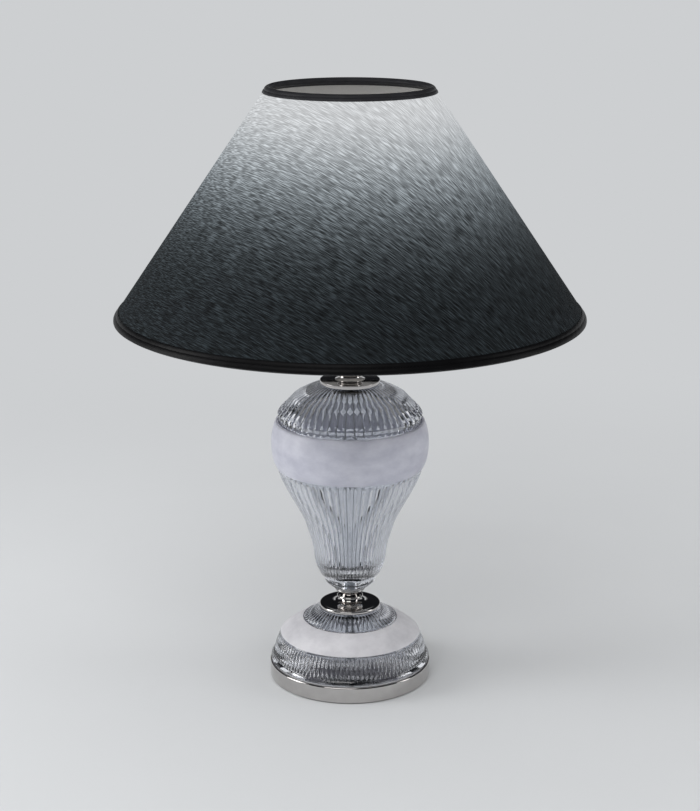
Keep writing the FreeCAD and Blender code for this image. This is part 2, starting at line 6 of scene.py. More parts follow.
import bmesh
import bpy
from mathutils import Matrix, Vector


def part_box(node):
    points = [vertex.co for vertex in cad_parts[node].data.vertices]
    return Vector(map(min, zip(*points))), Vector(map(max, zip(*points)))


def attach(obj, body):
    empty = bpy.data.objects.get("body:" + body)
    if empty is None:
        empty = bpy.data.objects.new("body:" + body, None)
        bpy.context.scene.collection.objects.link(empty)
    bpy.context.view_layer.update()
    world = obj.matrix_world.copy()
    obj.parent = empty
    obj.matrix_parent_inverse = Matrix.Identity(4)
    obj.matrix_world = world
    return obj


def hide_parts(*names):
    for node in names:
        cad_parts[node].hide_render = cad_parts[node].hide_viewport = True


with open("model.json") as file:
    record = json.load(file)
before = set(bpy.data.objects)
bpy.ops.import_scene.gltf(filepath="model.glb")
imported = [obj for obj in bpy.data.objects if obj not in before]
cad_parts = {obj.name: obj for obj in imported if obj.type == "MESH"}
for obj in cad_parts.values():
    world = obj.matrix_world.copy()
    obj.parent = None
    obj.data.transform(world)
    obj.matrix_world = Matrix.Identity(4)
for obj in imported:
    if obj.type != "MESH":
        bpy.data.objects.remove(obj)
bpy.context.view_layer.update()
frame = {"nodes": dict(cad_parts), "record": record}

bpy.context.scene.view_settings.view_transform = "Standard"

mm = 0.001
full_turn = 2 * math.pi
backdrop_tone = "CDCFD1"


# Sizes from the frame

def low(node):
    """Height of a CAD node's lower end."""
    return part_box(node)[0].z


def high(node):
    """Height of a CAD node's upper end."""
    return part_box(node)[1].z


def reach(node):
    """How far a CAD node reaches from the lamp's axis."""
    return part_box(node)[1].x


# Colours and nodes

def colour(text):
    """An sRGB hex colour as linear red, green, blue and a full alpha."""
    parts = [int(text[i:i + 2], 16) / 255 for i in (0, 2, 4)]
    return (*[p / 12.92 if p <= 0.04045 else ((p + 0.055) / 1.055) ** 2.4 for p in parts], 1.0)


def add(tree, kind, inputs=None, **settings):
    """Adds a node with its settings, fills or links inputs by name or place, and gives back its outputs."""
    made = tree.nodes.new("ShaderNode" + kind)
    for name, value in settings.items():
        setattr(made, name, value)
    for name, value in (inputs or {}).items():
        if isinstance(value, bpy.types.NodeSocket):
            tree.links.new(value, made.inputs[name])
        else:
            made.inputs[name].default_value = value
    return made.outputs


def start(name):
    """A new material and its empty node tree."""
    material = bpy.data.materials.new(name)
    material.use_nodes = True
    material.node_tree.nodes.clear()
    return material, material.node_tree


# Materials

def polished_nickel():
    """Turned brass, polished and nickel plated: a bright, slightly warm mirror with faint wiping marks."""
    material, tree = start("polished nickel plate")
    place = add(tree, "TexCoord")["Object"]
    marks = add(tree, "TexNoise", {"Vector": place, "Scale": 1 / (9 * mm), "Detail": 3.0})["Fac"]
    haze = add(tree, "MapRange", {
        "Value": marks, "From Min": 0.3, "From Max": 0.75, "To Min": 0.03, "To Max": 0.075,
    })["Result"]
    tint = add(tree, "MixRGB", {
        "Fac": marks, "Color1": colour("BAB7B5"), "Color2": colour("CDCAC8"),
    })["Color"]
    shader = add(tree, "BsdfPrincipled", {"Base Color": tint, "Roughness": haze, "Metallic": 1.0})["BSDF"]
    add(tree, "OutputMaterial", {"Surface": shader})
    return material


def cut_crystal():
    """Lead crystal, pressed, cut, fire polished: clear, faintly grey, with a high index and sharp sparkle."""
    material, tree = start("clear cut crystal")
    place = add(tree, "TexCoord")["Object"]
    ripple = add(tree, "TexNoise", {"Vector": place, "Scale": 1 / (5 * mm), "Detail": 2.0})["Fac"]
    melt = add(tree, "MixRGB", {
        "Fac": ripple, "Color1": colour("DEE1E7"), "Color2": colour("EBEDF2"),
    })["Color"]
    shader = add(tree, "BsdfPrincipled", {
        "Base Color": melt,
        "Roughness": 0.012,
        "IOR": 1.56,
        "Transmission Weight": 1.0,
        "Normal": add(tree, "Bump", {"Height": ripple, "Distance": 0.02 * mm})["Normal"],
    })["BSDF"]
    add(tree, "OutputMaterial", {"Surface": shader})
    return material


def satin_crystal(name, dark, light):
    """The same crystal etched to a satin: white, cloudy, with soft broad lights and faint streaks."""
    material, tree = start(name)
    place = add(tree, "TexCoord")["Object"]
    drawn = add(tree, "Mapping", {"Vector": place, "Scale": (1.0, 1.0, 1.8)})["Vector"]
    clouds = add(tree, "TexNoise", {
        "Vector": drawn, "Scale": 1 / (24 * mm), "Detail": 5.0, "Roughness": 0.62,
    })["Fac"]
    depth = add(tree, "MapRange", {"Value": clouds, "From Min": 0.32, "From Max": 0.68})["Result"]
    tone = add(tree, "MixRGB", {"Fac": depth, "Color1": colour(dark), "Color2": colour(light)})["Color"]
    grit = add(tree, "TexNoise", {"Vector": place, "Scale": 1 / (0.9 * mm), "Detail": 2.0})["Fac"]
    normal = add(tree, "Bump", {"Height": grit, "Distance": 0.04 * mm})["Normal"]
    etched = add(tree, "BsdfPrincipled", {
        "Base Color": tone,
        "Roughness": 0.4,
        "IOR": 1.5,
        "Transmission Weight": 0.15,
        "Normal": normal,
    })["BSDF"]
    through = add(tree, "BsdfTranslucent", {"Color": colour("D0D0DE"), "Normal": normal})["BSDF"]
    both = add(tree, "MixShader", {0: 0.12, 1: etched, 2: through})["Shader"]
    add(tree, "OutputMaterial", {"Surface": both})
    return material


# The cloth: how its threads and slubs run on the flat blank, and the bulb's light through it, painted as a
# glow
thread_angle = math.radians(-34)
thread_length, thread_width = 9 * mm, 0.7 * mm
slub_length, slub_width = 20 * mm, 1.1 * mm
glow_height, glow_fade = 588 * mm, 75 * mm
glow_power = 2.0
glow_peak = 0.62
glow_on_threads = 0.22


def spun_threads(tree, length, width, dark, light):
    """Uneven spun threads askew on the flat cloth, as a brightness about 1: noise drawn out along them."""
    uv = add(tree, "UVMap", uv_map="flat cloth")["UV"]
    askew = add(tree, "Mapping", {"Vector": uv, "Rotation": (0.0, 0.0, thread_angle)})["Vector"]
    drawn = add(tree, "Mapping", {"Vector": askew, "Scale": (1 / length, 1 / width, 1.0)})["Vector"]
    field = add(tree, "TexNoise", {"Vector": drawn, "Scale": 1.0, "Detail": 0.0})["Fac"]
    return add(tree, "MapRange", {
        "Value": field, "From Min": 0.4, "From Max": 0.6, "To Min": dark, "To Max": light,
    })["Result"]


def charcoal_slub_silk():
    """Charcoal slub silk stretched on the lining: dull, with light and dark threads that run askew, and with
    the bulb's light through it painted in as a glow, most near the top. Its threads are drawn about twice as
    thick as real ones, so that they show."""
    material, tree = start("charcoal slub silk")
    fine = spun_threads(tree, thread_length, thread_width, dark=0.4, light=1.6)
    coarse = spun_threads(tree, slub_length, slub_width, dark=0.6, light=1.4)
    weave = add(tree, "Math", {0: fine, 1: coarse}, operation="MULTIPLY")["Value"]
    base = add(tree, "MixRGB", {
        "Fac": 1.0, "Color1": colour("1B2023"), "Color2": weave,
    }, blend_type="MULTIPLY")["Color"]

    # The painted glow is strongest at its height and falls as e to the minus square of the fade lengths below
    # it
    lengths = 4.0
    height = add(tree, "SeparateXYZ", {"Vector": add(tree, "TexCoord")["Object"]})["Z"]
    below = add(tree, "MapRange", {
        "Value": height,
        "From Min": glow_height,
        "From Max": glow_height - lengths * glow_fade,
        "To Min": 0.0,
        "To Max": lengths,
    })["Result"]
    fall = add(tree, "Math", {0: below, 1: glow_power}, operation="POWER")["Value"]
    glow = add(tree, "Math", {0: math.exp(-1), 1: fall}, operation="POWER")["Value"]
    calm = add(tree, "MapRange", {"Value": glow, "To Min": 1.0, "To Max": glow_on_threads})["Result"]
    uneven = add(tree, "MixRGB", {"Fac": calm, "Color1": (1.0, 1.0, 1.0, 1.0), "Color2": weave})["Color"]
    light = add(tree, "Math", {0: glow, 1: glow_peak}, operation="MULTIPLY")["Value"]
    tint = add(tree, "MixRGB", {"Fac": glow, "Color1": colour("E5F5FF"), "Color2": colour("FBFDFF")})["Color"]
    lit = add(tree, "MixRGB", {"Fac": 1.0, "Color1": tint, "Color2": light}, blend_type="MULTIPLY")["Color"]
    lit = add(tree, "MixRGB", {"Fac": 1.0, "Color1": lit, "Color2": uneven}, blend_type="MULTIPLY")["Color"]
    shader = add(tree, "BsdfPrincipled", {
        "Base Color": base,
        "Roughness": 0.85,
        "Specular IOR Level": 0.12,
        "Emission Color": lit,
        "Emission Strength": 1.0,
        "Normal": add(tree, "Bump", {"Height": weave, "Distance": 0.12 * mm})["Normal"],
    })["BSDF"]
    add(tree, "OutputMaterial", {"Surface": shader})
    return material


def black_satin(name, dark, light):
    """Bias tape in woven satin, folded double: near black, with close ribs across it and a soft shine on its
    rolls. Its copy over the light is painted a little greyer, as painted light from within."""
    material, tree = start(name)
    rib_width = 1.0 * mm
    bands_per_unit = 20  # of the wave texture at scale 1
    uv = add(tree, "UVMap", uv_map="flat cloth")["UV"]
    ribs = add(tree, "TexWave", {
        "Vector": uv, "Scale": 1 / rib_width / bands_per_unit, "Distortion": 1.2, "Detail": 2.0,
    }, wave_type="BANDS", bands_direction="DIAGONAL")["Fac"]
    place = add(tree, "TexCoord")["Object"]
    patches = add(tree, "TexNoise", {"Vector": place, "Scale": 1 / (12 * mm), "Detail": 4.0})["Fac"]
    tone = add(tree, "MixRGB", {"Fac": patches, "Color1": colour(dark), "Color2": colour(light)})["Color"]
    shader = add(tree, "BsdfPrincipled", {
        "Base Color": tone,
        "Roughness": 0.42,
        "Specular IOR Level": 0.1,
        "Normal": add(tree, "Bump", {"Height": ribs, "Distance": 0.06 * mm})["Normal"],
    })["BSDF"]
    add(tree, "OutputMaterial", {"Surface": shader})
    return material


def white_lining():
    """Styrene lining, matt white but painted grey for the shade inside the shade, with the bulb's light
    painted in as a glow: brightest beside the bulb, with the fine grain of the cloth.
    """
    lit_reach, brightest = 100 * mm, 0.13
    material, tree = start("white styrene lining")
    place = add(tree, "TexCoord")["Object"]
    grain = add(tree, "TexNoise", {"Vector": place, "Scale": 1 / (1.4 * mm), "Detail": 3.0})["Fac"]
    # Painted shade: the white styrene in a mid grey, for the dim light inside the shade
    tone = add(tree, "MixRGB", {
        "Fac": grain, "Color1": colour("A09F9D"), "Color2": colour("B1B0AE"),
    })["Color"]
    # Painted light: an emission glow for the bulb's light, brightest level with the bulb's top
    height = add(tree, "SeparateXYZ", {"Vector": place})["Z"]
    above = add(tree, "Math", {0: height, 1: high("bulb_glass")}, operation="SUBTRACT")["Value"]
    away = add(tree, "Math", {0: above}, operation="ABSOLUTE")["Value"]
    glow = add(tree, "MapRange", {
        "Value": away, "From Min": 0.0, "From Max": lit_reach, "To Min": brightest, "To Max": 0.0,
    }, interpolation_type="SMOOTHSTEP")["Result"]
    lit = add(tree, "MixRGB", {
        "Fac": 1.0, "Color1": colour("FFFCF6"), "Color2": glow,
    }, blend_type="MULTIPLY")["Color"]
    shader = add(tree, "BsdfPrincipled", {
        "Base Color": tone,
        "Roughness": 0.6,
        "Emission Color": lit,
        "Emission Strength": 1.0,
        "Normal": add(tree, "Bump", {"Height": grain, "Distance": 0.05 * mm})["Normal"],
    })["BSDF"]
    add(tree, "OutputMaterial", {"Surface": shader})
    return material


def opal_glass():
    """Opal bulb glass, lit: smooth milk white with a soft shine."""
    material, tree = start("opal bulb glass")
    place = add(tree, "TexCoord")["Object"]
    veil = add(tree, "TexNoise", {"Vector": place, "Scale": 1 / (20 * mm), "Detail": 2.0})["Fac"]
    tone = add(tree, "MixRGB", {"Fac": veil, "Color1": colour("C9C5BD"), "Color2": colour("D6D2CA")})["Color"]
    shader = add(tree, "BsdfPrincipled", {
        "Base Color": tone,
        "Roughness": 0.22,
        "Emission Color": colour("FFF4E2"),
        "Emission Strength": 0.5,
    })["BSDF"]
    add(tree, "OutputMaterial", {"Surface": shader})
    return material


def plain_finish(name, dark, light, grain, roughness, metallic=0.0, depth=0.05 * mm):
    """A finish in two near tones, in blotches as large as its real grain, with bump of the given depth."""
    material, tree = start(name)
    place = add(tree, "TexCoord")["Object"]
    field = add(tree, "TexNoise", {
        "Vector": place, "Scale": 1 / grain, "Detail": 3.0, "Roughness": 0.6,
    })["Fac"]
    tone = add(tree, "MixRGB", {"Fac": field, "Color1": colour(dark), "Color2": colour(light)})["Color"]
    shader = add(tree, "BsdfPrincipled", {
        "Base Color": tone,
        "Roughness": roughness,
        "Metallic": metallic,
        "Normal": add(tree, "Bump", {"Height": field, "Distance": depth})["Normal"],
    })["BSDF"]
    add(tree, "OutputMaterial", {"Surface": shader})
    return material


# Mesh code

def piece(name, points, faces, body, materials, replaces, sharp=30, uv=None, bands=None):
    """A mesh object that rides on a body. Bands gives each face's material, and uv each face corner's place
    on the flat cloth."""
    mesh = bpy.data.meshes.new(name)
    mesh.from_pydata(points, [], faces)
    for material in materials:
        mesh.materials.append(material)
    if bands:
        mesh.polygons.foreach_set("material_index", bands)
    if uv:
        flat = [value for corner in uv for value in corner]
        mesh.uv_layers.new(name="flat cloth").data.foreach_set("uv", flat)
    shaped = bmesh.new()
    shaped.from_mesh(mesh)
    bmesh.ops.recalc_face_normals(shaped, faces=shaped.faces)
    shaped.to_mesh(mesh)
    shaped.free()
    mesh.polygons.foreach_set("use_smooth", [True] * len(faces))
    mesh.set_sharp_from_angle(angle=math.radians(sharp))
    made = bpy.data.objects.new(name, mesh)
    bpy.context.scene.collection.objects.link(made)
    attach(made, body)
    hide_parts(*replaces)
    return made


def ring_faces(rows, sides):
    """Quads between rows of points round the axis, the last row joined to the first."""
    faces = []
    for row in range(rows):
        after = (row + 1) % rows
        for i in range(sides):
            j = (i + 1) % sides
            faces.append((row * sides + i, row * sides + j, after * sides + j, after * sides + i))
    return faces


def turned(profile, sides, start_angle=0.0):
    """Points and faces of a closed outline of (r, z), turned about the axis."""
    points = []
    for r, z in profile:
        for i in range(sides):
            angle = full_turn * i / sides + start_angle
            points.append((r * math.cos(angle), r * math.sin(angle), z))
    return points, ring_faces(len(profile), sides)


def arc(centre, radius, start, end, steps=8):
    """Points on an arc about a centre (r, z), from one angle to another in degrees; 0 is outwards, 90 up."""
    made = []
    for i in range(steps + 1):
        angle = math.radians(start + (end - start) * i / steps)
        made.append((centre[0] + radius * math.cos(angle), centre[1] + radius * math.sin(angle)))
    return made


def curve(start, end, bow, steps=10):
    """Points along a shallow arc that leaves the straight line by bow to its right, ends included."""
    along = (end[0] - start[0], end[1] - start[1])
    half = 2 * math.atan2(2 * bow, math.hypot(*along))
    made = []
    for i in range(steps + 1):
        turn = half * (2 * i / steps - 1)
        forward = (1 + math.sin(turn) / math.sin(half)) / 2
        aside = (math.cos(turn) - math.cos(half)) / math.sin(half) / 2
        made.append((start[0] + forward * along[0] + aside * along[1],
                     start[1] + forward * along[1] - aside * along[0]))
    return made


def mixed(first, second, share):
    """The value a share of the way from the first to the second."""
    return first + (second - first) * share


def eased(value):
    """A share from 0 to 1 that starts and ends softly."""
    value = min(1.0, max(0.0, value))
    return value * value * (3 - 2 * value)


def steepness(table, k):
    """The slope of a smooth line at one of its points, level at a peak."""
    last = len(table) - 1
    before = table[max(k, 1)][1] - table[max(k, 1) - 1][1]
    before /= table[max(k, 1)][0] - table[max(k, 1) - 1][0]
    after = table[min(k, last - 1) + 1][1] - table[min(k, last - 1)][1]
    after /= table[min(k, last - 1) + 1][0] - table[min(k, last - 1)][0]
    return 0.0 if before * after <= 0 else 2 * before * after / (before + after)


def smooth_line(table, place):
    """A smooth line through given (place, size) pairs, without overshoot between them."""
    place = min(table[-1][0], max(table[0][0], place))
    i = max(k for k in range(len(table) - 1) if table[k][0] <= place)
    (start, first), (end, second) = table[i:i + 2]
    span = end - start
    t = (place - start) / span
    return (
        (2 * t ** 3 - 3 * t ** 2 + 1) * first + (t ** 3 - 2 * t ** 2 + t) * span * steepness(table, i)
        + (3 * t ** 2 - 2 * t ** 3) * second + (t ** 3 - t ** 2) * span * steepness(table, i + 1)
    )


# Crystal

def cut_surface(rows, sides):
    """Points of a cut surface. A row is (radius, height, depth, half width, count): rounded ribs between
    sharp grooves of that depth. A half width under 1 narrows the ribs, and at 0 they have run out."""
    points = []
    for radius, height, depth, width, count in rows:
        for i in range(sides):
            place = (i * count / sides) % 1.0 * 2 - 1
            cut = depth * min(1.0, (place / width) ** 2) if width else depth
            angle = full_turn * i / sides
            points.append(((radius - cut) * math.cos(angle), (radius - cut) * math.sin(angle), height))
    return points


def crystal_piece(name, node, rows, sides, satin):
    """A crystal piece from rows up its outside and down its inside, each (height above its foot, radius,
    depth, half width, count, etched) in millimetres. The faces between two etched rows are satin."""
    bottom = low(node)
    surface = [
        (r * mm, bottom + z * mm, depth * mm, width, count) for z, r, depth, width, count, etched in rows
    ]
    bands = []
    for row, after in zip(rows, rows[1:] + rows[:1]):
        bands += [1 if row[5] and after[5] else 0] * sides
    points, faces = cut_surface(surface, sides), ring_faces(len(rows), sides)
    return piece(name, points, faces, "stand", [clear_crystal, satin], [node],
                 sharp=40, bands=bands)


# Outlines of the crystal: (height above the piece's own lower end, radius) in millimetres
vase_side = [
    (9.4, 24.6), (12, 26.6), (16, 29.6), (21, 32.2), (26, 34.2), (34.6, 35.8), (43.7, 36.9), (52.7, 39.1),
    (61.7, 42.0), (71.7, 45.1), (80.7, 49.4), (89.7, 54.2), (98.7, 59.2), (107.7, 64.0), (116.7, 68.3),
    (128.2, 72.2),
]
vase_band = [
    (128.2, 72.5), (135.7, 75.7), (144.7, 77.3), (153.5, 77.7), (162.7, 76.9), (169.5, 75.1), (174.0, 73.4),
]
dome_side = [
    (176.6, 69.6), (178.5, 70.0), (180.5, 70.8), (182, 71.3), (183.5, 70.6), (187, 68.0), (191, 64.0),
    (196, 59.2), (200, 55.4), (205, 46.5), (209, 38.0), (211.7, 30.0),
]
foot_skirt = [(4.0, 78.9), (8.0, 77.2), (14.0, 75.4), (19.0, 73.6), (24.0, 71.5), (27.0, 70.0)]
crown_side = [(42.9, 46.9), (45.4, 43.3), (49.0, 37.6), (53.9, 30.2)]
rod_hole_radius = 5.4


def crystal_vase():
    """The vase in one piece: end with a lip, ribs that run out under the satin band, groove, ribbed dome."""
    wall, dome_wall = 5.5, 4.2
    end_radius, lip_radius, lip_height = 13.6, 25.0, 8.4
    ribs, ribs_low, ribs_rise, ribs_high, run_out = 64, 12, 20, 125.6, 5.0
    rib_depth, least_depth = 0.034, 0.35  # of the radius, and of that depth where the ribs run out
    band_low, band_high, band_step = 128.2, 174.0, 0.15
    dome_ribs, dome_depth, dome_wide = 60, 1.7, 60
    dome_rim, rim_rise, rim_share = 182.6, 3.2, 0.6
    top, mouth, mouth_edge, ceiling = 211.7, 12.0, 1.0, 24.5
    hollow_dome, hollow_belly, hollow_foot, widest = 172, 168, 30, 69.0
    sides = 15 * ribs  # 16 for each of the dome's ribs
    rows = []

    def row(z, r, depth=0.0, width=1.0, count=ribs, etched=False):
        rows.append((z, r, depth, width, count, etched))

    # Outside, from the neck up
    for r, z in curve((end_radius, 0.0), (lip_radius, lip_height - 0.4), 1.1, 8):
        row(z, r)
    for r, z in arc((lip_radius - 0.5, lip_height), 0.6, -30, 120, 5):
        row(z, r)
    for i in range(61):
        z = mixed(9.6, band_low, i / 60)
        r = smooth_line(vase_side, z)
        depth = rib_depth * r * eased((z - ribs_low) / ribs_rise)
        to_end = max(0.0, (z - ribs_high + run_out) / run_out)
        width = math.sqrt(max(0.0, 1 - to_end ** 2))
        row(z, r, depth * max(least_depth, width), width)
    for i in range(21):
        z = mixed(band_low, band_high, i / 20)
        row(z + (band_step if i == 0 else 0), smooth_line(vase_band, z), etched=True)
    # Lower wall of the groove under the dome
    for above, r, etched in ((0.5, 72.6, True), (0.7, 71.2, True), (1.0, 69.8, False)):
        row(band_high + above, r, etched=etched)

    # Dome
    for i in range(31):
        z = mixed(dome_side[0][0], top, i / 30)
        r = smooth_line(dome_side, z)
        over_rim = min(1.0, max(rim_share, (z - dome_rim) / rim_rise))
        row(z, r, dome_depth * min(1.0, r / dome_wide) * over_rim, 1.0, dome_ribs)

    # Inside, from the mouth down
    row(top, mouth + mouth_edge)
    row(top - mouth_edge, mouth)
    row(top - wall, mouth)
    row(top - wall, ceiling)
    for i in range(9):
        z = mixed(top - wall - 1.5, hollow_dome, i / 8)
        row(z, min(smooth_line(dome_side, z + dome_wall), widest) - dome_wall)
    for i in range(19):
        z = mixed(hollow_belly, hollow_foot, i / 18)
        row(z, smooth_line(vase_band if z > band_low else vase_side, z) - wall)
    for z, r in ((17.6, 19.5), (15.0, 8.0), (15.0, rod_hole_radius), (0.0, rod_hole_radius)):
        row(z, r)
    return crystal_piece("cut_vase", "crystal_vase", rows, sides, lilac_satin)


def crystal_foot():
    """Pressed foot: smooth rim, two rings of fine ribs, a satin shoulder and a ribbed crown."""
    wall, rim = 6.0, 1.8
    ribs, rib_depth = 110, 0.55
    rib_low, rib_high, rib_waist = 4.8, 25.6, 14.6
    fade_low, fade_high, fade_waist, waist_share = 1.4, 1.0, 0.7, 0.15
    crown_ribs, crown_depth, crown_wide, crown_step = 60, 0.8, 46, 0.5
    rising_rows = 2  # over which the crown's ribs deepen
    shoulder_low, shoulder_high = (70.2, 27.3), (47.4, 42.9)
    crown_low, top = 42.9, 53.9
    sides = 6 * ribs  # 11 for each of the crown's ribs
    rows = []

    def row(z, r, depth=0.0, count=ribs, etched=False):
        rows.append((z, r, depth, 1.0, count, etched))

    # Outside, from the rim up
    for r, z in arc((78.2, rim), rim, -90, 20, 6):
        row(z, r)
    row(4.0, 79.4)
    for i in range(27):
        z = mixed(rib_low, rib_high, i / 26)
        at_waist = waist_share + abs(z - rib_waist) / fade_waist
        fade = min(1.0, (z - rib_low) / fade_low, (rib_high - z) / fade_high, at_waist)
        row(z, smooth_line(foot_skirt, z), rib_depth * fade)
    row(25.9, 70.8)
    row(27.0, 70.3)
    for r, z in curve(shoulder_low, shoulder_high, 0.9, 14):
        row(z, r, etched=True)
    row(crown_low, 46.9)
    row(crown_low - 0.2, 46.5)
    for i in range(15):
        z = mixed(crown_low, top, i / 14)
        r = smooth_line(crown_side, z) - (crown_step if i == 0 else 0)
        row(z, r, crown_depth * min(1.0, i / rising_rows) * r / crown_wide, crown_ribs)

    # Inside, from the rod hole down
    for z, r in (
        (top, rod_hole_radius),
        (top - wall, rod_hole_radius),
        (top - wall, 24.2),
        (36.9, 43.9),
        (24.0, 64.0),
        (4.6, 74.0),
        (0.0, 74.0),
    ):
        row(z, r)
    return crystal_piece("pressed_foot", "crystal_foot", rows, sides, white_satin)


# Nickel pieces

rod_hole = rod_hole_radius * mm
nickel_sides = 240


def nickel_piece(name, node, profile):
    """A turned and plated piece of the stand."""
    points, faces = turned(profile, nickel_sides)
    return piece(name, points, faces, "stand", [nickel], [node], sharp=28)


def base_pan():
    """Spun pan: a plain wall with a rolled top edge and a small turned-in lower lip."""
    r, bottom, top = reach("base_pan"), low("base_pan"), high("base_pan")
    wall, web, roll, lip = 1.5 * mm, 2 * mm, 1.4 * mm, 0.5 * mm
    profile = [(rod_hole, top - web), (r - wall, top - web), (r - wall, bottom)]
    profile += arc((r - lip, bottom + lip), lip, -90, 0, 4)
    profile += arc((r - roll, top - roll), roll, 0, 90)
    profile += [(rod_hole, top)]
    nickel_piece("spun_pan", "base_pan", profile)


def neck():
    """Turned neck: plate with rolled edges and a hollowed hub, bead ring, and flared cup for the vase."""
    r, bottom, top = reach("neck_flange"), low("neck_flange"), high("neck_flange")
    plate_top = bottom + 3.7 * mm
    hub, bead, waist, roll = 14.8 * mm, 13.0 * mm, 9.6 * mm, 1.5 * mm
    profile = [(rod_hole, bottom)]
    profile += arc((r - roll, bottom + roll), roll, -90, 0)
    profile += arc((r - roll, plate_top - roll), roll, 0, 70)
    rolled, hub_foot = (r - roll * 1.3, plate_top + 0.05 * mm), (hub + 1.2 * mm, plate_top + 0.7 * mm)
    profile += curve(rolled, hub_foot, -0.9 * mm)
    profile += curve((hub, plate_top + 1.6 * mm), (waist, top), -1.5 * mm)
    profile += [(rod_hole, top)]
    nickel_piece("neck_plate", "neck_flange", profile)

    bottom, top = low("neck_bead"), high("neck_bead")
    half = (top - bottom) / 2
    profile = [(rod_hole, bottom)] + arc((bead - half, bottom + half), half, -90, 90, 12) + [(rod_hole, top)]
    nickel_piece("bead_ring", "neck_bead", profile)

    r, bottom, top = reach("vase_cup"), low("vase_cup"), high("vase_cup")
    brim = 1.4 * mm
    profile = [(rod_hole, bottom)]
    profile += curve((waist, bottom), (r - 0.3 * mm, top - brim), -1.6 * mm)
    profile += arc((r - brim / 2, top - brim / 2), brim / 2, -60, 90)
    profile += [(rod_hole, top)]
    nickel_piece("flared_cup", "vase_cup", profile)


def cap():
    """Cap plate on the dome, and a turned collar: flared foot, round bead and a shoulder for the tube."""
    r, bottom, top = reach("vase_cap"), low("vase_cap"), high("vase_cap")
    roll = 0.35 * mm
    profile = [(rod_hole, bottom)]
    profile += arc((r - roll, bottom + roll), roll, -90, 0)
    profile += arc((r - roll, top - roll), roll, 0, 90)
    profile += [(rod_hole, top)]
    nickel_piece("cap_plate", "vase_cap", profile)

    r, bottom, top = reach("cap_collar"), low("cap_collar"), high("cap_collar")
    waist, shoulder, edge = 11.4 * mm, 8.6 * mm, 0.4 * mm
    bead_low, bead_high = mixed(bottom, top, 0.3), mixed(bottom, top, 0.65)
    profile = [(rod_hole, bottom)]
    profile += curve((r, bottom + 0.3 * mm), (waist, bead_low), -0.75 * mm)
    profile += curve((waist, bead_low), (waist, bead_high), 1.6 * mm)
    profile += [(shoulder, top - 0.5 * mm), (shoulder - edge, top), (rod_hole, top)]
    nickel_piece("turned_collar", "cap_collar", profile)


def threaded(name, node, body, material, radius, bore, bottom, top, pitch, depth):
    """A screwed tube: a true helix along its outside, fading at both ends."""
    sides, rows_a_turn, fading_rows = 72, 8, 6
    rows = max(24, round((top - bottom) / pitch * rows_a_turn))
    points = []
    for row in range(rows + 1):
        z = mixed(bottom, top, row / rows)
        fade = min(1.0, row / fading_rows, (rows - row) / fading_rows)
        for i in range(sides):
            angle = full_turn * i / sides
            r = radius - depth * fade * (1 + math.cos(full_turn * (z / pitch - i / sides))) / 2
            points.append((r * math.cos(angle), r * math.sin(angle), z))
    for z in (top, bottom):
        for i in range(sides):
            angle = full_turn * i / sides
            points.append((bore * math.cos(angle), bore * math.sin(angle), z))
    return piece(name, points, ring_faces(rows + 3, sides), body, [material], [node], sharp=60)


def lampholder():
    """Screw lampholder: domed cap, threaded skirt, and the shoulder under the shade."""
    bottom, top, r = low("lampholder_cap"), high("lampholder_cap"), reach("lampholder_cap")
    boss, boss_depth, thread, wall = 7.6 * mm, 9 * mm, 5.1 * mm, 1.2 * mm
    wide = mixed(bottom, top, 0.7)
    profile = [(thread, bottom)] + curve((boss, bottom), (r, wide), 2.6 * mm, 14)
    profile += [(r, top), (r - wall, top)] + curve((r - wall, wide), (boss, bottom + wall), -2.6 * mm, 14)
    profile += [(boss, bottom + boss_depth), (thread, bottom + boss_depth)]
    nickel_piece("holder_cap", "lampholder_cap", profile)

    bottom, top = low("lampholder_shell"), high("lampholder_shell")
    skirt, bore, edge = 19.2 * mm, 17.4 * mm, 0.5 * mm
    shoulder = reach("lampholder_shell")
    under, over, step = bottom + 11 * mm, bottom + 13 * mm, 0.4 * mm
    profile = [(bore, bottom), (skirt, bottom), (skirt, under)]
    profile += arc((shoulder - edge, under + edge), edge, -90, 0, 3)
    profile += arc((shoulder - edge, over - edge), edge, 0, 90, 3)
    profile += [(skirt, over), (skirt, over + step), (bore, over + step)]
    nickel_piece("holder_shoulder", "lampholder_shell", profile)
    threaded("holder_thread", "lampholder_shell", "stand", nickel, radius=skirt, bore=bore,
             bottom=over + step, top=top, pitch=2.5 * mm, depth=0.6 * mm)


def clamp_ring():
    """Ring that clamps the shade: a smooth lip below, and rounded grips with flat gaps between them."""
    bottom, top, r = low("shade_ring"), high("shade_ring"), reach("shade_ring")
    lip, bore, edge = 2.4 * mm, 19.28 * mm, 0.4 * mm
    grips, depth, width = 24, 1.1 * mm, 0.7
    body = r - lip
    rows = [
        (r - edge, bottom, 0.0, width, grips),
        (r, bottom + edge, 0.0, width, grips),
        (r, bottom + lip - edge, 0.0, width, grips),
        (r - edge, bottom + lip, 0.0, width, grips),
        (body, bottom + lip, depth, width, grips),
        (body, top - edge, depth, width, grips),
        (body - edge, top, depth - edge, width, grips),
        (bore, top, 0.0, width, grips),
        (bore, bottom, 0.0, width, grips),
    ]
    sides = grips * 12
    piece("grip_ring", cut_surface(rows, sides), ring_faces(len(rows), sides), "clamp", [nickel],
          ["shade_ring"], sharp=35)


# Bulb

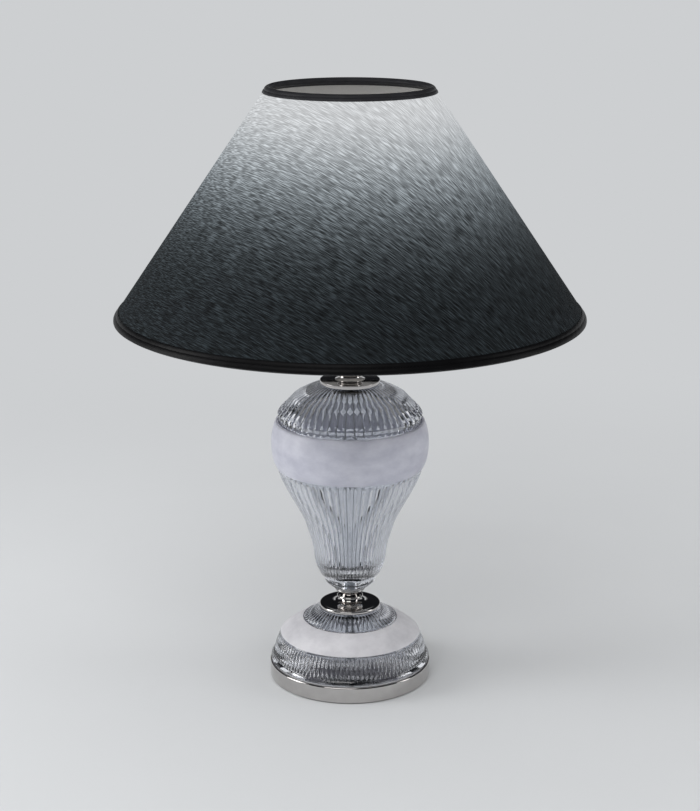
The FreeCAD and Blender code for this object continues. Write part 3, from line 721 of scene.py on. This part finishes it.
def bulb():
    """Opal bulb: a pear of glass in a rolled screw cap."""
    bottom, top = low("bulb_glass"), high("bulb_glass")
    radius, wall = 30 * mm, 0.9 * mm
    neck_radius, neck_length = 12.6 * mm, 5.8 * mm
    throat_radius, throat_height = 14.0 * mm, 8.2 * mm
    ball = top - radius
    turn_in = math.radians(36)
    sides = 96

    def skin(gap):
        """The glass's outline, a gap inside its outer face."""
        reached = radius - gap
        made = [(neck_radius - gap, bottom), (neck_radius - gap, bottom + neck_length + gap)]
        made += curve((throat_radius - gap, bottom + throat_height),
                      (reached * math.cos(turn_in), ball - reached * math.sin(turn_in)), -1.2 * mm, 12)
        return made + arc((0, ball), reached, -34, 89.5, 36)

    points, faces = turned(skin(0.0) + skin(wall)[::-1], sides)
    piece("opal_globe", points, faces, "bulb", [opal], ["bulb_glass"], sharp=40)
    threaded("screw_cap", "bulb_cap", "bulb", rolled_aluminium,
             radius=13.2 * mm, bore=12.7 * mm, bottom=low("bulb_cap"), top=high("bulb_cap"),
             pitch=3.6 * mm, depth=0.5 * mm)


# Shade

shade_sides = 256
cloth = 0.6 * mm  # its thickness, and that of the lining with the gap before it
layer_gap = 0.02 * mm
edge_low = (227.0 * mm, high("shade_fabric") - 218.4 * mm)
edge_high = (78.2 * mm, high("shade_fabric"))
slope = math.hypot(edge_low[0] - edge_high[0], edge_high[1] - edge_low[1])
inwards = (edge_low[0] - edge_high[0]) / slope
rise = (edge_high[1] - edge_low[1]) / slope


def on_shade(up_share, out=0.0):
    """(r, z) on the shade: a share of the way up its slope and a distance out of its outer face."""
    return (mixed(edge_low[0], edge_high[0], up_share) + out * rise,
            mixed(edge_low[1], edge_high[1], up_share) + out * inwards)


def shade_piece(name, node, material, profile, flat):
    """A round piece of the shade, its seam at the back. Flat turns (row, share of the turn) to flat cloth."""
    points, faces = turned(profile, shade_sides, math.pi / 2)
    uv = []
    for face in faces:
        at_seam = face[0] % shade_sides == shade_sides - 1
        for corner in face:
            column = corner % shade_sides
            share = 1.0 if at_seam and column == 0 else column / shade_sides
            uv.append(flat(corner // shade_sides, share))
    return piece(name, points, faces, "shade", [material], [node], sharp=48, uv=uv)


def cone(name, node, material, outer, inner):
    """A layer of the shade between two depths behind its face, its cloth laid out as the cone unrolls."""
    steps = 24
    profile = [on_shade(i / steps, -outer) for i in range(steps + 1)]
    profile += [on_shade(1 - i / steps, -inner) for i in range(steps + 1)]

    def flat(row, share):
        from_tip = profile[row][0] / inwards
        angle = (share - 0.5) * full_turn * inwards
        return from_tip * math.sin(angle), from_tip * math.cos(angle)

    return shade_piece(name, node, material, profile, flat)


def tape(name, node, satin, upper, width, back_width):
    """Satin tape over an edge and round the ring wire: two rolls outside, a round edge, a turned-in strip."""
    thick, wire, wall = 0.8 * mm, 1.6 * mm, 2 * cloth
    hem, middle, middle_gap, middle_height = 0.15 * mm, width * 0.52, 0.1 * mm, thick * 0.35
    roll_low = 0.6  # a roll's height at its ends, as a share of its full height
    edge_from, edge_along, edge_drop = 0.5 * mm, 0.4 * mm, 0.3 * mm
    edge_over, edge_rise = thick * 0.9, thick * 0.6

    def roll(start, end):
        """A soft roll of the folded tape across part of its width."""
        heights = [roll_low + (1 - roll_low) * math.sin(math.pi * i / 8) for i in range(9)]
        return [(mixed(start, end, i / 8), thick * heights[i]) for i in range(9)]

    section = [(width, 0.0), (width, thick * 0.5)]
    section += roll(width - hem, middle + middle_gap)
    section.append((middle, middle_height))
    section += roll(middle - middle_gap, edge_from)
    for i in range(1, 5):
        angle = math.radians(90 * i / 4)
        section.append((edge_along * math.cos(angle) - edge_over * math.sin(angle),
                        edge_rise * math.cos(angle) - edge_drop))
    section.append((-edge_over, -wall))
    # Half height and half depth of the tape round the ring wire
    half_height, half_depth = wire + thick - 0.1 * mm, (wire + thick) * 0.98
    for i in range(13):
        angle = math.radians(mixed(-90, 90, i / 12))
        section.append((wire + half_height * math.sin(angle), -wall - wire - half_depth * math.cos(angle)))
    section += [(back_width, -wall - thick * 0.8), (back_width, -wall), (wire, -wall)]
    at, way = (1.0, -1) if upper else (0.0, 1)
    profile = [on_shade(at + way * along / slope, out) for along, out in section]
    around = full_turn * (edge_high[0] if upper else edge_low[0])
    lengths = [0.0]
    for first, second in zip(section, section[1:]):
        lengths.append(lengths[-1] + math.dist(first, second))
    return shade_piece(name, node, satin, profile, lambda row, share: (share * around, lengths[row]))


# Studio

def seen_ray(tree):
    """1 for what the camera, shiny things or glass see, 0 for the light that falls on things."""
    rays = add(tree, "LightPath")
    shiny = add(tree, "Math", {0: rays["Is Glossy Ray"], 1: rays["Is Transmission Ray"]}, operation="MAXIMUM")
    return add(tree, "Math", {0: shiny["Value"], 1: rays["Is Camera Ray"]}, operation="MAXIMUM")["Value"]


def pale_floor():
    """Board painted matt pale grey, which goes over into the backdrop's even tone further off."""
    plain_from, plain_to = 0.45, 1.3
    material, tree = start("pale painted board")
    place = add(tree, "TexCoord")["Object"]
    brushing = add(tree, "TexNoise", {"Vector": place, "Scale": 1 / (300 * mm), "Detail": 4.0})["Fac"]
    tone = add(tree, "MixRGB", {
        "Fac": brushing, "Color1": colour("CCCED0"), "Color2": colour("D2D4D6"),
    })["Color"]
    near = add(tree, "BsdfPrincipled", {
        "Base Color": tone, "Roughness": 0.9, "Specular IOR Level": 0.05,
    })["BSDF"]
    far = add(tree, "Emission", {"Color": colour(backdrop_tone)})["Emission"]
    away = add(tree, "VectorMath", {0: place}, operation="LENGTH")["Value"]
    spread = add(tree, "MapRange", {"Value": away, "From Min": plain_from, "From Max": plain_to},
                 interpolation_type="SMOOTHSTEP")["Result"]
    share = add(tree, "Math", {0: seen_ray(tree), 1: spread}, operation="MULTIPLY")["Value"]
    both = add(tree, "MixShader", {0: share, 1: near, 2: far})["Shader"]
    add(tree, "OutputMaterial", {"Surface": both})
    return material


def surround():
    """Even soft light on things, and a pale backdrop. Shiny things and glass see it under a dark ceiling,
    with the dark room in front, and glass alone sees tall windows all round in that dark part."""
    ceiling_from, ceiling_full = 0.08, 0.24  # upward part of a view's direction
    room_from, room_full = 0.0, -0.5  # its part from front to back
    window_count, window_edge = 10, 0.25
    light_strength = 0.7
    world = bpy.data.worlds.new("studio")
    bpy.context.scene.world = world
    world.use_nodes = True
    tree = world.node_tree
    tree.nodes.clear()
    way = add(tree, "SeparateXYZ", {"Vector": add(tree, "TexCoord")["Generated"]})
    overhead = add(tree, "MapRange", {"Value": way["Z"], "From Min": ceiling_from, "From Max": ceiling_full},
                   interpolation_type="SMOOTHSTEP")["Result"]
    in_front = add(tree, "MapRange", {"Value": way["Y"], "From Min": room_from, "From Max": room_full},
                   interpolation_type="SMOOTHSTEP")["Result"]
    room = add(tree, "Math", {0: overhead, 1: in_front}, operation="MAXIMUM")["Value"]
    rays = add(tree, "LightPath")
    to_camera, in_glass = rays["Is Camera Ray"], rays["Is Transmission Ray"]
    dark = add(tree, "Math", {0: room, 1: to_camera}, operation="SUBTRACT", use_clamp=True)["Value"]
    round_about = add(tree, "Math", {0: way["Y"], 1: way["X"]}, operation="ARCTAN2")["Value"]
    turns = add(tree, "Math", {0: round_about, 1: window_count}, operation="MULTIPLY")["Value"]
    wave = add(tree, "Math", {0: turns}, operation="SINE")["Value"]
    window = add(tree, "MapRange", {"Value": wave, "From Min": 0.0, "From Max": window_edge})["Result"]
    through_glass = add(tree, "Math", {0: window, 1: in_glass}, operation="MULTIPLY")["Value"]
    ceiling = add(tree, "MixRGB", {
        "Fac": through_glass, "Color1": colour("1C1D20"), "Color2": colour("FFFFFF"),
    })["Color"]
    tone = add(tree, "MixRGB", {"Fac": dark, "Color1": colour(backdrop_tone), "Color2": ceiling})["Color"]
    light = add(tree, "Background", {"Color": colour("FFFFFF"), "Strength": light_strength})["Background"]
    look = add(tree, "Background", {"Color": tone, "Strength": 1.0})["Background"]
    both = add(tree, "MixShader", {0: seen_ray(tree), 1: light, 2: look})["Shader"]
    add(tree, "OutputWorld", {"Surface": both})


def soft_box(name, azimuth, elevation, distance, width, tall, brightness):
    """An area light that faces the lamp. Azimuth 0 is in front and positive to the right, in degrees as
    elevation is, and lengths are in metres."""
    light = bpy.data.lights.new(name, "AREA")
    light.shape = "RECTANGLE"
    light.size = width
    light.size_y = tall
    light.energy = brightness * math.pi * width * tall
    made = bpy.data.objects.new(name, light)
    side, lift = math.radians(azimuth), math.radians(elevation)
    way = Vector((math.sin(side) * math.cos(lift), -math.cos(side) * math.cos(lift), math.sin(lift)))
    lamp_middle = Vector((0, 0, 0.3))
    made.location = lamp_middle + way * distance
    made.rotation_euler = (-way).to_track_quat("-Z", "Y").to_euler()
    made.visible_camera = False
    bpy.context.scene.collection.objects.link(made)


def studio():
    """A wide pale floor under a pale surround, with a tall soft box on each side and one above in front."""
    floor_radius = 30.0
    sides = 96
    points = [(0.0, 0.0, 0.0)]
    for i in range(sides):
        angle = full_turn * i / sides
        points.append((floor_radius * math.cos(angle), floor_radius * math.sin(angle), 0.0))
    mesh = bpy.data.meshes.new("floor")
    mesh.from_pydata(points, [], [(0, i + 1, (i + 1) % sides + 1) for i in range(sides)])
    mesh.materials.append(pale_floor())
    floor = bpy.data.objects.new("floor", mesh)
    bpy.context.scene.collection.objects.link(floor)
    surround()
    soft_box("left soft box", azimuth=-84, elevation=12, distance=1.9, width=0.8, tall=2.1, brightness=4.4)
    soft_box("right soft box", azimuth=84, elevation=12, distance=1.9, width=0.45, tall=1.9, brightness=2.4)
    soft_box("front top soft box", azimuth=-18, elevation=48, distance=2.5, width=1.7, tall=1.5,
             brightness=2.3)


def camera():
    """The photograph's view, worked out from the ellipses of the lamp's round edges."""
    picture_height, lens_pixels, sensor = 811, 1826.6, 36
    away, above, pitch = 1.7229, 0.7679, 15.771
    data = bpy.data.cameras.new("camera")
    data.sensor_width = sensor
    data.lens = lens_pixels * sensor / picture_height
    data.clip_start = 0.05
    made = bpy.data.objects.new("camera", data)
    made.location = (0, -away, above)
    made.rotation_euler = (math.radians(90 - pitch), 0, 0)
    bpy.context.scene.collection.objects.link(made)
    bpy.context.scene.camera = made


camera()
nickel = polished_nickel()
clear_crystal = cut_crystal()
lilac_satin = satin_crystal("satin etched crystal, faint lilac", "C3C4D2", "DEDFEA")
white_satin = satin_crystal("satin etched crystal, white", "CECDD2", "E9E8EC")
slub_silk = charcoal_slub_silk()
black_tape = black_satin("black satin tape", "050506", "0D0D0F")
# Painted light: the top tape's copy in greyer tones, for the light that reaches it from within
tape_painted_lit = black_satin("black satin tape, painted lit from within", "1E1E20", "2E2E31")
styrene = white_lining()
opal = opal_glass()
# Cold rolled into the bulb's screw cap: pale, half dull metal
rolled_aluminium = plain_finish(
    "rolled aluminium", "B4B5B7", "C6C7C9", 6 * mm, 0.3, metallic=1.0, depth=0.02 * mm)
finishes = {
    # Pressed wool: quite dull, near black, with a short uneven nap
    "felt": plain_finish("black felt", "131315", "1E1E21", 1.2 * mm, 0.95, depth=0.4 * mm),
    # Sand cast and brush painted: light grey, faintly pitted, half dull
    "iron": plain_finish("cast iron, painted light grey", "9FA1A4", "B0B2B5", 2.5 * mm, 0.5, depth=0.2 * mm),
    # Cut from bright bar and plated: cool, slightly cloudy metal
    "zinc": plain_finish("zinc plated steel", "A2A5A8", "B8BABD", 4 * mm, 0.3, metallic=1.0, depth=0.02 * mm),
    # Moulded: black, dull, with the mould's fine grain
    "rubber": plain_finish("black rubber", "101011", "19191A", 1.5 * mm, 0.6),
    # Punched from sheet: pale, waxy, with a soft shine
    "gasket": plain_finish("clear soft plastic", "C9CACC", "D6D7D9", 3 * mm, 0.3),
    # Fired with a clear glaze: warm white and wet looking
    "porcelain": plain_finish("glazed porcelain", "E4E1DA", "ECE9E2", 8 * mm, 0.12, depth=0.02 * mm),
    # Pressed from sheet, unplated: yellow metal with a soft shine
    "contact_brass": plain_finish(
        "bright brass", "B99A5B", "CBAF70", 5 * mm, 0.25, metallic=1.0, depth=0.02 * mm),
    # Poured into the cap's end: black and glossy
    "black_glass": plain_finish("black insulating glass", "08080A", "101013", 3 * mm, 0.1),
    "clear_glass": clear_crystal,
    # Drawn through a die: grey, half dull metal
    "filament_metal": plain_finish("drawn filament wire", "6B6862", "7D7A73", 1 * mm, 0.4, metallic=1.0),
    # Baked powder on the frame's wires: warm white with a fine orange peel
    "frame_paint": plain_finish("white powder coat", "DAD9D4", "E6E5E0", 0.9 * mm, 0.45),
    "chrome": nickel,
    "crystal": clear_crystal,
    "bulb_cap_metal": rolled_aluminium,
    "opal_glass": opal,
    "lining": styrene,
    "shade_fabric": slub_silk,
    "trim": black_tape,
}
for part in frame["record"]["subparts"]:
    mesh = frame["nodes"][part["node"]].data
    mesh.materials.clear()
    mesh.materials.append(finishes[part["material_slot"]])

base_pan()
neck()
cap()
lampholder()
clamp_ring()
bulb()
crystal_vase()
crystal_foot()
threaded("screwed_rod", "threaded_rod", "stand", finishes["zinc"], radius=reach("threaded_rod"),
         bore=3.6 * mm, bottom=low("threaded_rod"), top=high("threaded_rod"), pitch=1.5 * mm, depth=0.5 * mm)
cloth_cone = cone("cloth_cone", "shade_fabric", slub_silk, 0.0, cloth)
lining_cone = cone("lining_cone", "shade_lining", styrene, cloth + layer_gap, 2 * cloth)
bottom_tape = tape("bottom_tape", "bottom_trim", black_tape, upper=False, width=8.8 * mm, back_width=8 * mm)
top_tape = tape("top_tape", "top_trim", tape_painted_lit, upper=True, width=7 * mm, back_width=8 * mm)

studio()
